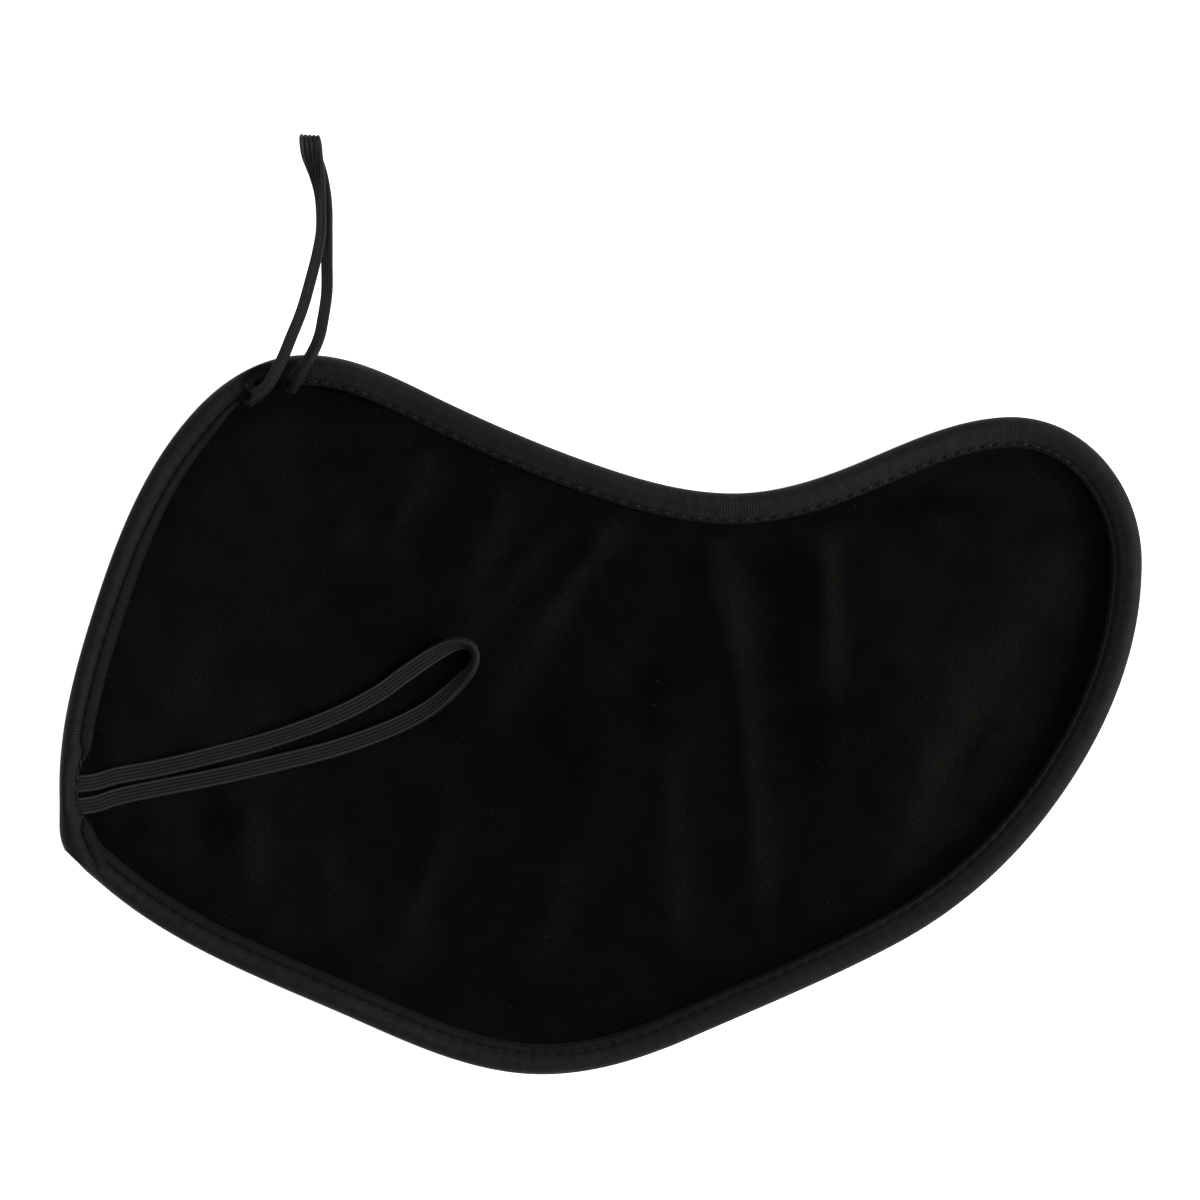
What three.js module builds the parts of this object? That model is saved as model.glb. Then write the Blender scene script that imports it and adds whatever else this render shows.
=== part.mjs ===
// Eye patch: a kidney-shaped padded cloth panel with a bound edge and two loops of flat elastic.
// Millimetres, +Z up. The patch lies on its face cloth with its lining up.
// The origin is the middle of the panel's footprint, on the surface that the patch lies on.
// +X runs along the panel's length and +Y towards the edge that carries the upper loop.

import * as THREE from 'three';

// ---------------------------------------------------------------- driving dimensions

const GAP = 0.3;                    // clearance between neighbouring solids
const CLOTH = 0.6;                  // thickness of the face cloth and of the lining
const FELT = 0.8;                   // thickness of the interlining
const TAPE = 0.6;                   // thickness of the binding tape
const BINDING_WIDTH = 4.6;          // from the outer edge to the tape's inner edges
const FOLD_DEPTH = 1.1;             // how far in the round of the tape's fold reaches
const FOLD_INSIDE = 0.65;           // from the outer edge to the tape's inner face at the fold
const CLOTH_INSET = 1.0;            // from the outer edge to the cut edge of the cloths
const FELT_INSET = 1.4;             // the same for the interlining
const SEAM_INSET = 3.8;             // from the outer edge to the row of stitching
const THREAD_RADIUS = 0.2;
const THREAD_SIDES = 6;
const ELASTIC_WIDTH = 2.6;
const ELASTIC_THICKNESS = 0.8;
const RIM_RISE = 2.9;               // how far the outer edge curls up
const EDGE_ZONE = 6;                // width of the band that slopes straight down from the edge
const EDGE_ZONE_FALL = 0.6;         // share of RIM_RISE lost across that band
const STATIONS = 80;                // places round the outline

// Heights above the underside of the face cloth, where the panel lies flat.
const FELT_BOTTOM = CLOTH + GAP;
const LINING_BOTTOM = FELT_BOTTOM + FELT + GAP;
const LINING_TOP = LINING_BOTTOM + CLOTH;
const LEAF_BOTTOM = LINING_TOP + GAP;
const LEAF_TOP = LEAF_BOTTOM + TAPE;
const ELASTIC_LIFT = ELASTIC_THICKNESS + GAP;

// Rings of the cloths inside the edge zone: share of the way to the middle, and share of RIM_RISE.
const INNER_RINGS = [[0.14, 0.12], [0.3, 0]];
const PANEL_MIDDLE = new THREE.Vector2(0, -6);

// Outer edge, anticlockwise from the binding's joint: x, y and the heading in degrees.
const OUTLINE = [
  [-74.5, -25.4, 319],
  [-40, -44, 337],
  [-8.5, -53.8, 0],
  [14, -48.1, 24],
  [44, -34.2, 28],
  [66, -15.8, 52],
  [80.8, 23, 90],
  [60.5, 44.5, 183],
  [40, 38.2, 203],
  [20, 33.1, 180],
  [0, 37.2, 161],
  [-25, 47.7, 154],
  [-44.5, 53.8, 182],
  [-60.8, 45.2, 228],
  [-75.5, 16, 252],
  [-80.8, -10, 269.5],
  [-79, -20.8, 300],
];

// Upper loop: from its left root over the binding, down to the surface, round its tip and back.
// The left leg lies on the right leg from their crossing to the tip.
const UPPER_ROUTE = [
  [-51.3, 46.1, 8.05], [-49.4, 48.9, 8.05], [-47.4, 52.3, 8.05], [-45.9, 56, 7.5],
  [-44.4, 60.2, 6], [-43.2, 65, 4.3], [-42.3, 69.1, 3.2], [-41.8, 72.5, 2.7],
  [-41.8, 75.5, 2.5], [-42, 78.5, 2.5], [-42.5, 81.3, 2.5], [-43.2, 84, 2.5],
  [-43.5, 86, 2.4], [-43.6, 86.7, 1.9], [-43.4, 86, 1.4],
  [-42.9, 84, 1.3], [-41.9, 81.5, 1.3], [-41.3, 79, 1.3], [-41, 76, 1.3],
  [-41, 72.5, 1.3], [-41, 67.8, 1.6], [-40.9, 63.4, 3], [-41.2, 59.8, 4.9],
  [-41.8, 56, 7.1], [-42.9, 53.4, 8.05], [-44.7, 50.7, 8.05], [-46.2, 47.9, 8.05],
];

// Lower loop: from its upper root across the lining, round its tip and back to its lower root.
const LOWER_ROUTE = [
  [-75.3, -10, 4.55], [-72.6, -9.2, 4.1], [-66.1, -8, 3.6], [-57.3, -5.9, 3.3],
  [-48.6, -3.5, 3.3], [-39.9, -0.3, 3.3], [-33.3, 3.1, 3.3], [-29, 6.2, 3.3],
  [-24.6, 9.2, 3.3], [-21.6, 10.6, 3.3], [-19.4, 10.3, 3.3], [-18.6, 8.8, 3.3],
  [-19.2, 6.8, 3.3], [-20.8, 5, 3.3], [-22.9, 3, 3.3], [-25.9, 0.7, 3.3],
  [-31.2, -2, 3.3], [-39.9, -5.1, 3.3], [-48.6, -7.3, 3.3], [-57.3, -9.3, 3.3],
  [-66.1, -11, 3.6], [-72.6, -12.4, 4.1], [-75.3, -13.3, 4.55],
];

const UPPER_STEPS = 78;
const LOWER_STEPS = 66;
const END_STEPS = 20;
const STEEP = 0.5;                  // rise of a unit tangent from which the elastic isn't levelled
const TUCKED_LENGTH = 3.6;          // how far each end of the elastic runs in under the binding
const TUCKED_HEIGHT = LINING_TOP + GAP + ELASTIC_THICKNESS / 2;
const UPPER_END_BEND = 0.7;         // size of the bend where the upper loop's ends turn up
const UPPER_END_DROP = 1.05;        // from the middle of the free part down to the top of those ends

// The tape's upper leaf rises over the caught ends: middle of each rise, its flat and its end.
const LEAF_RISES = [new THREE.Vector2(-47.2, 50.8), new THREE.Vector2(-78, -11.7)];
const LEAF_RISE_FLAT = 10.5;
const LEAF_RISE_END = 17;

// ---------------------------------------------------------------- finishes

function finish(color, roughness) {
  return new THREE.MeshStandardMaterial({ color, roughness, metalness: 0 });
}

const brushedKnit = finish(0x1a1916, 0.95);
const plainKnit = finish(0x161513, 0.9);
const felt = finish(0x3a3935, 1);
const ribbedTape = finish(0x22211f, 0.8);
const thread = finish(0x2a2926, 0.7);
const braid = finish(0x2b2926, 0.75);

// ---------------------------------------------------------------- outline and dish

function outlineCurve() {
  const path = new THREE.CurvePath();
  const radians = THREE.MathUtils.degToRad;
  OUTLINE.forEach(([x, y, heading], index) => {
    const [nextX, nextY, nextHeading] = OUTLINE[(index + 1) % OUTLINE.length];
    const from = new THREE.Vector2(x, y);
    const to = new THREE.Vector2(nextX, nextY);
    const turn = THREE.MathUtils.euclideanModulo(nextHeading - heading + 180, 360) - 180;
    // The handle length that makes a cubic follow a round arc with this chord and turn.
    const reach = from.distanceTo(to) / (3 * Math.cos(radians(turn) / 4) ** 2);
    const leave = new THREE.Vector2(Math.cos(radians(heading)), Math.sin(radians(heading)));
    const arrive = new THREE.Vector2(Math.cos(radians(nextHeading)), Math.sin(radians(nextHeading)));
    path.add(new THREE.CubicBezierCurve(
      from,
      from.clone().addScaledVector(leave, reach),
      to.clone().addScaledVector(arrive, -reach),
      to,
    ));
  });
  return path;
}

const outline = outlineCurve();

// A place on the outer edge, with the level direction that points into the panel.
function station(share) {
  const point = outline.getPoint(share);
  const tangent = outline.getTangent(share);
  return { point, inward: new THREE.Vector2(-tangent.y, tangent.x) };
}

const ring = Array.from({ length: STATIONS }, (_, i) => station(i / STATIONS));

// Height of the face cloth's underside, by distance in from the outer edge, inside the edge zone.
function slopeAt(depth) {
  return RIM_RISE * (1 - EDGE_ZONE_FALL * depth / EDGE_ZONE);
}

function pointInside(place, depth, height) {
  const flat = place.point.clone().addScaledVector(place.inward, depth);
  return new THREE.Vector3(flat.x, flat.y, slopeAt(depth) + height);
}

// ---------------------------------------------------------------- solid builders

// One closed body from triangles over a list of points, turned so that its faces point out.
function closedBody(points, triangles) {
  const volume = triangles.reduce((sum, [a, b, c]) => {
    const cross = new THREE.Vector3().crossVectors(points[b], points[c]);
    return sum + points[a].dot(cross);
  }, 0);
  const outward = volume > 0 ? triangles : triangles.map(([a, b, c]) => [a, c, b]);
  const geometry = new THREE.BufferGeometry().setFromPoints(points);
  geometry.setIndex(outward.flat());
  geometry.computeVertexNormals();
  return geometry;
}

// A body through a row of sections that all have the same number of corners.
// profile is the section in its own plane, and gives the two flat ends their triangles.
function loft(sections, profile) {
  const corners = profile.length;
  const points = sections.flat();
  const triangles = [];
  for (let s = 0; s + 1 < sections.length; s++) {
    for (let c = 0; c < corners; c++) {
      const a = s * corners + c;
      const b = s * corners + (c + 1) % corners;
      triangles.push([a, b, b + corners], [a, b + corners, a + corners]);
    }
  }
  const flatProfile = profile.map(([u, v]) => new THREE.Vector2(u, v));
  const clockwise = THREE.ShapeUtils.isClockWise(flatProfile);
  const last = (sections.length - 1) * corners;
  for (const face of THREE.ShapeUtils.triangulateShape(flatProfile, [])) {
    const sameWay = THREE.ShapeUtils.isClockWise(face.map((c) => flatProfile[c])) === clockwise;
    const [a, b, c] = sameWay ? face : face.toReversed();
    triangles.push([a, c, b], [last + a, last + b, last + c]);
  }
  return closedBody(points, triangles);
}

// A flat section carried along a curve. side is the section's level direction at the start: it stays
// square to the curve without twisting, and is levelled again wherever the curve isn't steep.
function sweep(curve, steps, side, profile) {
  const sections = [];
  for (let k = 0; k <= steps; k++) {
    const middle = curve.getPoint(k / steps);
    const along = curve.getTangent(k / steps);
    side = side.clone().addScaledVector(along, -side.dot(along)).normalize();
    if (Math.abs(along.z) < STEEP) {
      side = new THREE.Vector3(side.x, side.y, 0).normalize();
      side.addScaledVector(along, -side.dot(along)).normalize();
    }
    const up = new THREE.Vector3().crossVectors(along, side);
    sections.push(profile.map(([u, v]) =>
      middle.clone().addScaledVector(side, u).addScaledVector(up, v)));
  }
  return loft(sections, profile);
}

// A cloth layer: rings of points from its cut edge to the flat middle, top and bottom alike.
function layer(inset, bottom, thickness) {
  const middle = new THREE.Vector3(PANEL_MIDDLE.x, PANEL_MIDDLE.y, 0);
  function side(height) {
    const cut = ring.map((place) => pointInside(place, inset, height));
    const zoneEnd = ring.map((place) => pointInside(place, EDGE_ZONE, height));
    const inner = INNER_RINGS.map(([share, rise]) => zoneEnd.map((point) => {
      const moved = point.clone().lerp(middle, share);
      moved.z = RIM_RISE * rise + height;
      return moved;
    }));
    return [cut, zoneEnd, ...inner].flat().concat([middle.clone().setZ(height)]);
  }
  const ringCount = INNER_RINGS.length + 2;
  const perSide = ringCount * STATIONS + 1;
  const points = [...side(bottom + thickness), ...side(bottom)];
  const triangles = [];
  for (let i = 0; i < STATIONS; i++) {
    const next = (i + 1) % STATIONS;
    for (let r = 0; r + 1 < ringCount; r++) {
      const [a, b] = [r * STATIONS + i, r * STATIONS + next];
      const [c, d] = [b + STATIONS, a + STATIONS];
      triangles.push([a, b, c], [a, c, d]);
      triangles.push([perSide + a, perSide + c, perSide + b], [perSide + a, perSide + d, perSide + c]);
    }
    const [a, b] = [(ringCount - 1) * STATIONS + i, (ringCount - 1) * STATIONS + next];
    triangles.push([a, b, perSide - 1], [perSide + a, 2 * perSide - 1, perSide + b]);
    triangles.push([i, perSide + next, next], [i, perSide + i, perSide + next]);
  }
  return closedBody(points, triangles);
}

// ---------------------------------------------------------------- edge binding and its seam

function leafRise(point) {
  const nearest = Math.min(...LEAF_RISES.map((middle) => middle.distanceTo(point)));
  return ELASTIC_LIFT * (1 - THREE.MathUtils.smoothstep(nearest, LEAF_RISE_FLAT, LEAF_RISE_END));
}

// Stations of the tape, from one cut end to the other with a gap between them.
const tapeRing = [...ring, station(1 - GAP / outline.getLength())];

// The folded tape's section: depth from the outer edge, height, and share of the leaf's rise.
const LOWER_LEAF_BOTTOM = -GAP - TAPE;
const NEEDLE_THREAD_HEIGHT = LEAF_TOP + GAP + THREAD_RADIUS;
const BOBBIN_THREAD_HEIGHT = LOWER_LEAF_BOTTOM - GAP - THREAD_RADIUS;
const CHAMFER = 0.25;               // of FOLD_DEPTH, where the fold's facets meet
const TAPE_SECTION = [
  [BINDING_WIDTH, LEAF_TOP, 1],
  [FOLD_DEPTH, LEAF_TOP, 1],
  [FOLD_DEPTH * CHAMFER, LEAF_TOP - FOLD_DEPTH * CHAMFER, 1],
  [0, LEAF_TOP - FOLD_DEPTH, 1],
  [0, LOWER_LEAF_BOTTOM + FOLD_DEPTH, 0],
  [FOLD_DEPTH * CHAMFER, LOWER_LEAF_BOTTOM + FOLD_DEPTH * CHAMFER, 0],
  [FOLD_DEPTH, LOWER_LEAF_BOTTOM, 0],
  [BINDING_WIDTH, LOWER_LEAF_BOTTOM, 0],
  [BINDING_WIDTH, -GAP, 0],
  [FOLD_INSIDE, -GAP, 0],
  [FOLD_INSIDE, LEAF_BOTTOM, 1],
  [BINDING_WIDTH, LEAF_BOTTOM, 1],
];

function bindingGeometry() {
  const sections = tapeRing.map((place) => TAPE_SECTION.map(([depth, height, share]) =>
    pointInside(place, depth, height + share * leafRise(place.point))));
  return loft(sections, TAPE_SECTION);
}

// A row of thread laid along the seam. share is how much of the leaf's rise the row follows.
function threadGeometry(height, share) {
  const profile = Array.from({ length: THREAD_SIDES }, (_, k) => {
    const angle = k * 2 * Math.PI / THREAD_SIDES;
    return [THREAD_RADIUS * Math.cos(angle), THREAD_RADIUS * Math.sin(angle)];
  });
  const sections = tapeRing.map((place) => profile.map(([u, v]) =>
    pointInside(place, SEAM_INSET + u, height + v + share * leafRise(place.point))));
  return loft(sections, profile);
}

// ---------------------------------------------------------------- elastic loops

const halfWidth = ELASTIC_WIDTH / 2;
const halfThickness = ELASTIC_THICKNESS / 2;
const flatHalf = halfWidth - halfThickness / 2;
const ELASTIC_SECTION = [
  [halfWidth, -halfThickness / 2], [halfWidth, halfThickness / 2],
  [flatHalf, halfThickness], [-flatHalf, halfThickness],
  [-halfWidth, halfThickness / 2], [-halfWidth, -halfThickness / 2],
  [-flatHalf, -halfThickness], [flatHalf, -halfThickness],
];

function loopGeometry(route, steps) {
  const curve = new THREE.CatmullRomCurve3(route.map((p) => new THREE.Vector3(...p)));
  const heading = curve.getTangent(0);
  const side = new THREE.Vector3(-heading.y, heading.x, 0);
  return sweep(curve, steps, side, ELASTIC_SECTION);
}

// The place on the outer edge that lies nearest to a point.
function nearestPlace(point) {
  const flat = new THREE.Vector2(point.x, point.y);
  const distances = ring.map((place) => place.point.distanceTo(flat));
  return ring[distances.indexOf(Math.min(...distances))];
}

// A point of a caught end, in the space under the tape's leaf: past its root towards the outer edge.
function tuckedPoint(root, place, past) {
  const depth = new THREE.Vector2(root.x, root.y).sub(place.point).dot(place.inward);
  const point = new THREE.Vector3(root.x, root.y, slopeAt(depth - past) + TUCKED_HEIGHT);
  point.x -= place.inward.x * past;
  point.y -= place.inward.y * past;
  return point;
}

// An end of the upper loop: from under the tape to its root, and up to where the free part starts.
function upperEndGeometry(rootPoint) {
  const root = new THREE.Vector3(...rootPoint);
  const place = nearestPlace(root);
  const low = tuckedPoint(root, place, 0);
  const points = [
    tuckedPoint(root, place, TUCKED_LENGTH),
    tuckedPoint(root, place, TUCKED_LENGTH / 2),
    tuckedPoint(root, place, UPPER_END_BEND),
    low.clone().setZ(low.z + UPPER_END_BEND),
    low.clone().setZ(root.z - UPPER_END_DROP),
  ];
  const side = new THREE.Vector3(place.inward.y, -place.inward.x, 0);
  return sweep(new THREE.CatmullRomCurve3(points), END_STEPS, side, ELASTIC_SECTION);
}

// An end of the lower loop: straight out from under the tape to meet the free part.
function lowerEndGeometry(rootPoint) {
  const root = new THREE.Vector3(...rootPoint);
  const place = nearestPlace(root);
  const line = new THREE.LineCurve3(tuckedPoint(root, place, TUCKED_LENGTH), tuckedPoint(root, place, GAP));
  const side = new THREE.Vector3(place.inward.y, -place.inward.x, 0);
  return sweep(line, 1, side, ELASTIC_SECTION);
}

// ---------------------------------------------------------------- assembly

const patch = new THREE.Group();

function add(name, geometry, material) {
  const mesh = new THREE.Mesh(geometry, material);
  mesh.name = name;
  patch.add(mesh);
}

add('face_cloth', layer(CLOTH_INSET, 0, CLOTH), plainKnit);
add('interlining', layer(FELT_INSET, FELT_BOTTOM, FELT), felt);
add('lining_cloth', layer(CLOTH_INSET, LINING_BOTTOM, CLOTH), brushedKnit);
add('edge_binding', bindingGeometry(), ribbedTape);
add('needle_thread', threadGeometry(NEEDLE_THREAD_HEIGHT, 1), thread);
add('bobbin_thread', threadGeometry(BOBBIN_THREAD_HEIGHT, 0), thread);
add('upper_loop', loopGeometry(UPPER_ROUTE, UPPER_STEPS), braid);
add('upper_loop_left_end', upperEndGeometry(UPPER_ROUTE[0]), braid);
add('upper_loop_right_end', upperEndGeometry(UPPER_ROUTE.at(-1)), braid);
add('lower_loop', loopGeometry(LOWER_ROUTE, LOWER_STEPS), braid);
add('lower_loop_upper_end', lowerEndGeometry(LOWER_ROUTE[0]), braid);
add('lower_loop_lower_end', lowerEndGeometry(LOWER_ROUTE.at(-1)), braid);

export default patch;
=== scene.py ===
import math
from functools import partial

import bpy
import numpy as np
from bpy.props import FloatProperty, FloatVectorProperty, PointerProperty
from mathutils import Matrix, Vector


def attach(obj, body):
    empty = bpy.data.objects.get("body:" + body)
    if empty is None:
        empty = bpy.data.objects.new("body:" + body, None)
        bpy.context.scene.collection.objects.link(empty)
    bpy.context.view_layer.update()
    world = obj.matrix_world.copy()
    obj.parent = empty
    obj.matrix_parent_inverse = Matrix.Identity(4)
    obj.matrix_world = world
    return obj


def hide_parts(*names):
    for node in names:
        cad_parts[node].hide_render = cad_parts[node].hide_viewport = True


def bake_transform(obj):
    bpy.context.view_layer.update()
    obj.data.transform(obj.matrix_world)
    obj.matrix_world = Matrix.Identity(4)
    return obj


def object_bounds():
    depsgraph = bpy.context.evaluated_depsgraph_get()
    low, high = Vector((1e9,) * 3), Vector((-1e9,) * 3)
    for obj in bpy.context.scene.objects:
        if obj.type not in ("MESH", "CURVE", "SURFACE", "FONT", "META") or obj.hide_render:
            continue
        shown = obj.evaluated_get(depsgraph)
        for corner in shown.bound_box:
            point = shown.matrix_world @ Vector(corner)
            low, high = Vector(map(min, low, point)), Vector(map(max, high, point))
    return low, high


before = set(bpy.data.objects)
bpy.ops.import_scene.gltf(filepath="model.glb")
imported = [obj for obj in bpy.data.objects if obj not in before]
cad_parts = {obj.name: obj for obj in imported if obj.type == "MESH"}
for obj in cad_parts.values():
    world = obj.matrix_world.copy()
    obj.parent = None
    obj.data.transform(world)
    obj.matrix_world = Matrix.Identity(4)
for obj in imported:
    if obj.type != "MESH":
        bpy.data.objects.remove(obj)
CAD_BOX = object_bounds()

bl_info = {
    "name": "Eye patch",
    "version": (1, 0, 0),
    "blender": (4, 5, 0),
    "location": "View3D > Sidebar > Eye patch",
    "description": "Builds a bound cloth eye patch with two elastic loops round its packed frame",
    "category": "Add Mesh",
}

MM = 0.001                        # shapes are worked out in millimetres, and meshes are in metres


# ---------------------------------------------------------------- values shared by the pieces

# Outer edge, anticlockwise from the binding's joint: x, y and the heading in degrees.
OUTLINE = (
    (-74.5, -25.4, 319), (-40, -44, 337), (-8.5, -53.8, 0), (14, -48.1, 24), (44, -34.2, 28),
    (66, -15.8, 52), (80.8, 23, 90), (60.5, 44.5, 183), (40, 38.2, 203), (20, 33.1, 180),
    (0, 37.2, 161), (-25, 47.7, 154), (-44.5, 53.8, 182), (-60.8, 45.2, 228), (-75.5, 16, 252),
    (-80.8, -10, 269.5), (-79, -20.8, 300),
)
EDGE_STEPS = 60                   # points of the edge between two stations
EDGE_SPACING = 0.5                # of the edge's points in the smooth distance

# Heights above the underside of the face cloth, where the panel lies flat.
FACE = (0.0, 0.6)
FELT = (0.9, 1.7)
LINING = (2.0, 2.6)
LEAF = (2.9, 3.5)                 # the tape's upper leaf
LOWER_LEAF = (-0.3, -0.9)

RIM_RISE = 2.9                    # how far the outer edge curls up
RIM_WIDTH = 22.0                  # how far in from the edge the curl reaches
# Where the rim stands up more steeply: middle x, y, reach and height. It falls away inside the binding.
RIM_LIFTS = ((82, 10, 32, 2.0), (44, -36, 30, 1.8), (-76, 24, 22, 1.1), (-34, -48, 24, 0.9))
LIFT_FALL = (3.8, 7.2)            # depths between which those lifts fall away
CLOTH_INSET = 1.8                 # from the outer edge to the cut edge of both cloths
FELT_INSET = 2.2                  # the same for the felt

# Corners of the cloths' grid, as stations of OUTLINE: lower left, lower right, upper right, upper left.
GRID_CORNERS = (16.4, 5.2, 6.55, 13.2)
GRID_CELLS = (150, 84)
FACE_SHARE = 0.12                 # of the lining's ripples, that shows in the face cloth

# Soft ripples of the lining: from x, y, to x, y, half width and height.
RIPPLES = (
    (-25.5, 39.5, -32, 25, 2.5, 1.17),
    (-36, 33, -41, 20, 2.9, 0.59),
    (-13, 36, -21, 14, 2.4, 0.91),
    (2.5, 29.5, -15.5, 3.5, 2.5, 1.43),
    (-4, 30, -24, 8, 2.1, 0.78),
    (16.8, 27, 21.5, 3, 2.7, 1.43),
    (21.5, 3, 23.5, -31, 2.9, 1.04),
    (34, 27, 34, 3, 2.4, 1.3),
    (9.9, -6, 11, -34.5, 2.7, 1.04),
    (-52.2, -14, -51.5, -27, 2.8, 1.17),
    (-30.5, -36, -21.5, -14, 2.7, 1.17),
    (-40.5, -20, -39.5, -33, 2.5, 0.65),
    (57, 9, 42, -23, 4.2, 1.3),
    (68, 25, 58, 6, 3.5, 0.78),
    (-5, -22, -10, -40, 3.1, 0.65),
    (-60, 12, -66, -2, 3.5, 0.78),
)
# Hollows between them, in the same terms. They are shallow dips, where the nap gets painted shade.
HOLLOWS = (
    (45, 33, 60, 29, 3.4, -0.25), (-57, -13, -58, -22, 2.6, -0.25), (-72, -15, -69, -19, 2.2, -0.25),
    (-62, -26, -50, -31, 2.2, -0.18), (7.6, 7, 7.4, -4, 2.6, -0.22), (-10, -1, -2, -8, 3.0, -0.15),
    (31.8, 2, 31.5, -10, 2.6, -0.2), (27, 22, 29, 4, 2.6, -0.15), (64, 30, 72, 26, 3.0, -0.2),
)

RIPPLE_START = (4.4, 8.0)         # depths between which ripples and hollows come to their full height
NAP_LIGHT_START = (5, 9)             # depths between which the painted light and shade on the nap come to full strength; nearer the binding the nap gets none, so it is darker there, as painted shade
RELAX_FRAMES = 20                 # of the simulation that slackens the lining
RELAX_CAP = 0.6                   # the most that it moves a point
RELAX_SINK = 0.2                  # the most that it lowers one
RELAX_FADE = (5.5, 13)            # depths between which the lining comes free of the binding

# From the outer edge to the row of stitching, by the station of OUTLINE.
SEAM_INSETS = ((0, 2.9), (2, 3.1), (4, 3.7), (6, 3.85), (7, 4.1), (12, 4.1), (13, 3.2), (14, 2.7),
               (14.75, 2.7), (14.9, 4.3), (15.5, 4.3), (15.7, 2.8), (16.9, 2.8))
SEAM_SINK = 0.28                  # how much lower the stitches lie where the row is near the fold,
SINK_INSETS = (3.9, 4.05)         # and the insets between which they come up again
SEAM_ENDS = (2.5, 4.0)            # from the joint, and from where the lap starts, to the row's two ends
STITCH_RINGS = 7                  # of points along one stitch
STITCH_SHARE = 0.88               # of the pitch that its visible thread takes up
THREAD_CORNERS = 6                # round the thread
FOLD_RADIUS = 2.2                 # of the round of the tape's fold
FOLD_POINTS = 17                  # of the tape's section, round that
LEAF_POINTS = 16                  # of the tape's section, across each leaf
STITCH_ROWS = 8                   # of the tape's points, along one stitch
TAPE_THICKNESS = 0.55
LEAF_RISE = 0.85                  # how far the tape's upper leaf rises over the caught ends
LEAF_RISES = ((-47.2, 50.8), (-78, -11.7))
LEAF_RISE_REACH = (10.5, 17.0)    # where each rise is whole, and where it has faded
PINCH = (-50.7, 49.9)             # where the upper loop's pull dents the tape
PINCH_SIZE = (2.6, 1.9)           # its reach and its depth

# Where the loops draw the tape narrow: a station of OUTLINE, the reach and the share.
ROOT_SQUEEZES = ((12.53, 7.0, 0.15), (15.1, 5.2, 0.36))
LAP_RUN = 7.8                     # how far before the joint the tape's upper end leaves the edge
UNDER_RUN = 9.4                   # how far the covered end runs back past the joint
LAP_LIFT = 0.64                   # how far the upper end stands off the end that it covers
LAP_RAMP = (7, 0.5)               # how far before that place it starts to lift, and stands fully off
LAP_ROWS = 14                     # rows of the tape's points beyond that place
LAP_SLOPE = 1.86                  # run per depth of the slanting cut of the upper end's upper leaf

# Upper loop: from its left root over the binding, down to the surface, round its tip and back.
UPPER_ROUTE = (
    (-51.3, 46.1, 8.05), (-49.4, 48.9, 8.05), (-47.4, 52.3, 8.05), (-45.9, 56, 7.5),
    (-44.4, 60.2, 6), (-43.2, 65, 4.3), (-42.3, 69.1, 3.2), (-41.8, 72.5, 2.7),
    (-41.8, 75.5, 2.5), (-42, 78.5, 2.5), (-42.5, 81.3, 2.5), (-43.2, 84, 2.5),
    (-43.5, 86, 2.4), (-43.6, 86.7, 1.9), (-43.4, 86, 1.4),
    (-42.9, 84, 1.3), (-41.9, 81.5, 1.3), (-41.3, 79, 1.3), (-41, 76, 1.3),
    (-41, 72.5, 1.3), (-41, 67.8, 1.6), (-40.9, 63.4, 3), (-41.2, 59.8, 4.9),
    (-41.8, 56, 7.1), (-42.9, 53.4, 8.05), (-44.7, 50.7, 8.05), (-46.2, 47.9, 8.05),
)
# The ends of the upper loop that run in under the tape's lip. They take the place of its route's first
# and last points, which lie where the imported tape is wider.
UPPER_LEFT_END = ((-53.4, 48, 5.05), (-52.9, 47.4, 4.85), (-52.2, 47.1, 5.4), (-51.5, 47.3, 7.2))
UPPER_RIGHT_END = ((-45.6, 49.2, 7.2), (-46, 49, 5.8), (-46.5, 49.4, 4.85), (-46.8, 50.2, 5.05))

# Lower loop: from its upper root across the lining, round its tip and back to its lower root.
LOWER_ROUTE = (
    (-75.3, -10, 4.55), (-72.6, -9.2, 4.1), (-66.1, -8, 3.6), (-57.3, -5.9, 3.3),
    (-48.6, -3.5, 3.3), (-39.9, -0.3, 3.3), (-33.3, 3.1, 3.3), (-29, 6.2, 3.3),
    (-24.6, 9.2, 3.3), (-21.6, 10.6, 3.3), (-19.4, 10.3, 3.3), (-18.6, 8.8, 3.3),
    (-19.2, 6.8, 3.3), (-20.8, 5, 3.3), (-22.9, 3, 3.3), (-25.9, 0.7, 3.3),
    (-31.2, -2, 3.3), (-39.9, -5.1, 3.3), (-48.6, -7.3, 3.3), (-57.3, -9.3, 3.3),
    (-66.1, -11, 3.6), (-72.6, -12.4, 4.1), (-75.3, -13.3, 4.55),
)
# The caught ends of the lower loop, which run in under the binding.
LOWER_UPPER_END = ((-78.6, -10.4, 5.3),)
LOWER_LOWER_END = ((-78.6, -13.8, 5.3),)

ROUTE_SPACING = 0.34              # of the elastic's sections
CURVE_STEPS = 60                  # of a route's curve between two of its points
ELASTIC_RIBS = 5
RIB_POINTS = 6                    # of the section, across one rib
LEVEL_ENOUGH = 0.45               # level part of a tangent from which the strip's side is sure
CLEARANCE = 0.6                   # of its thickness, from the lining to the elastic's middle
CAUGHT_ENDS = (0.35, 1.5)         # from the free part to a caught end, and from that to the outer edge
CAUGHT_LIFT = 0.5                 # of its middle, above the lining

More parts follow.
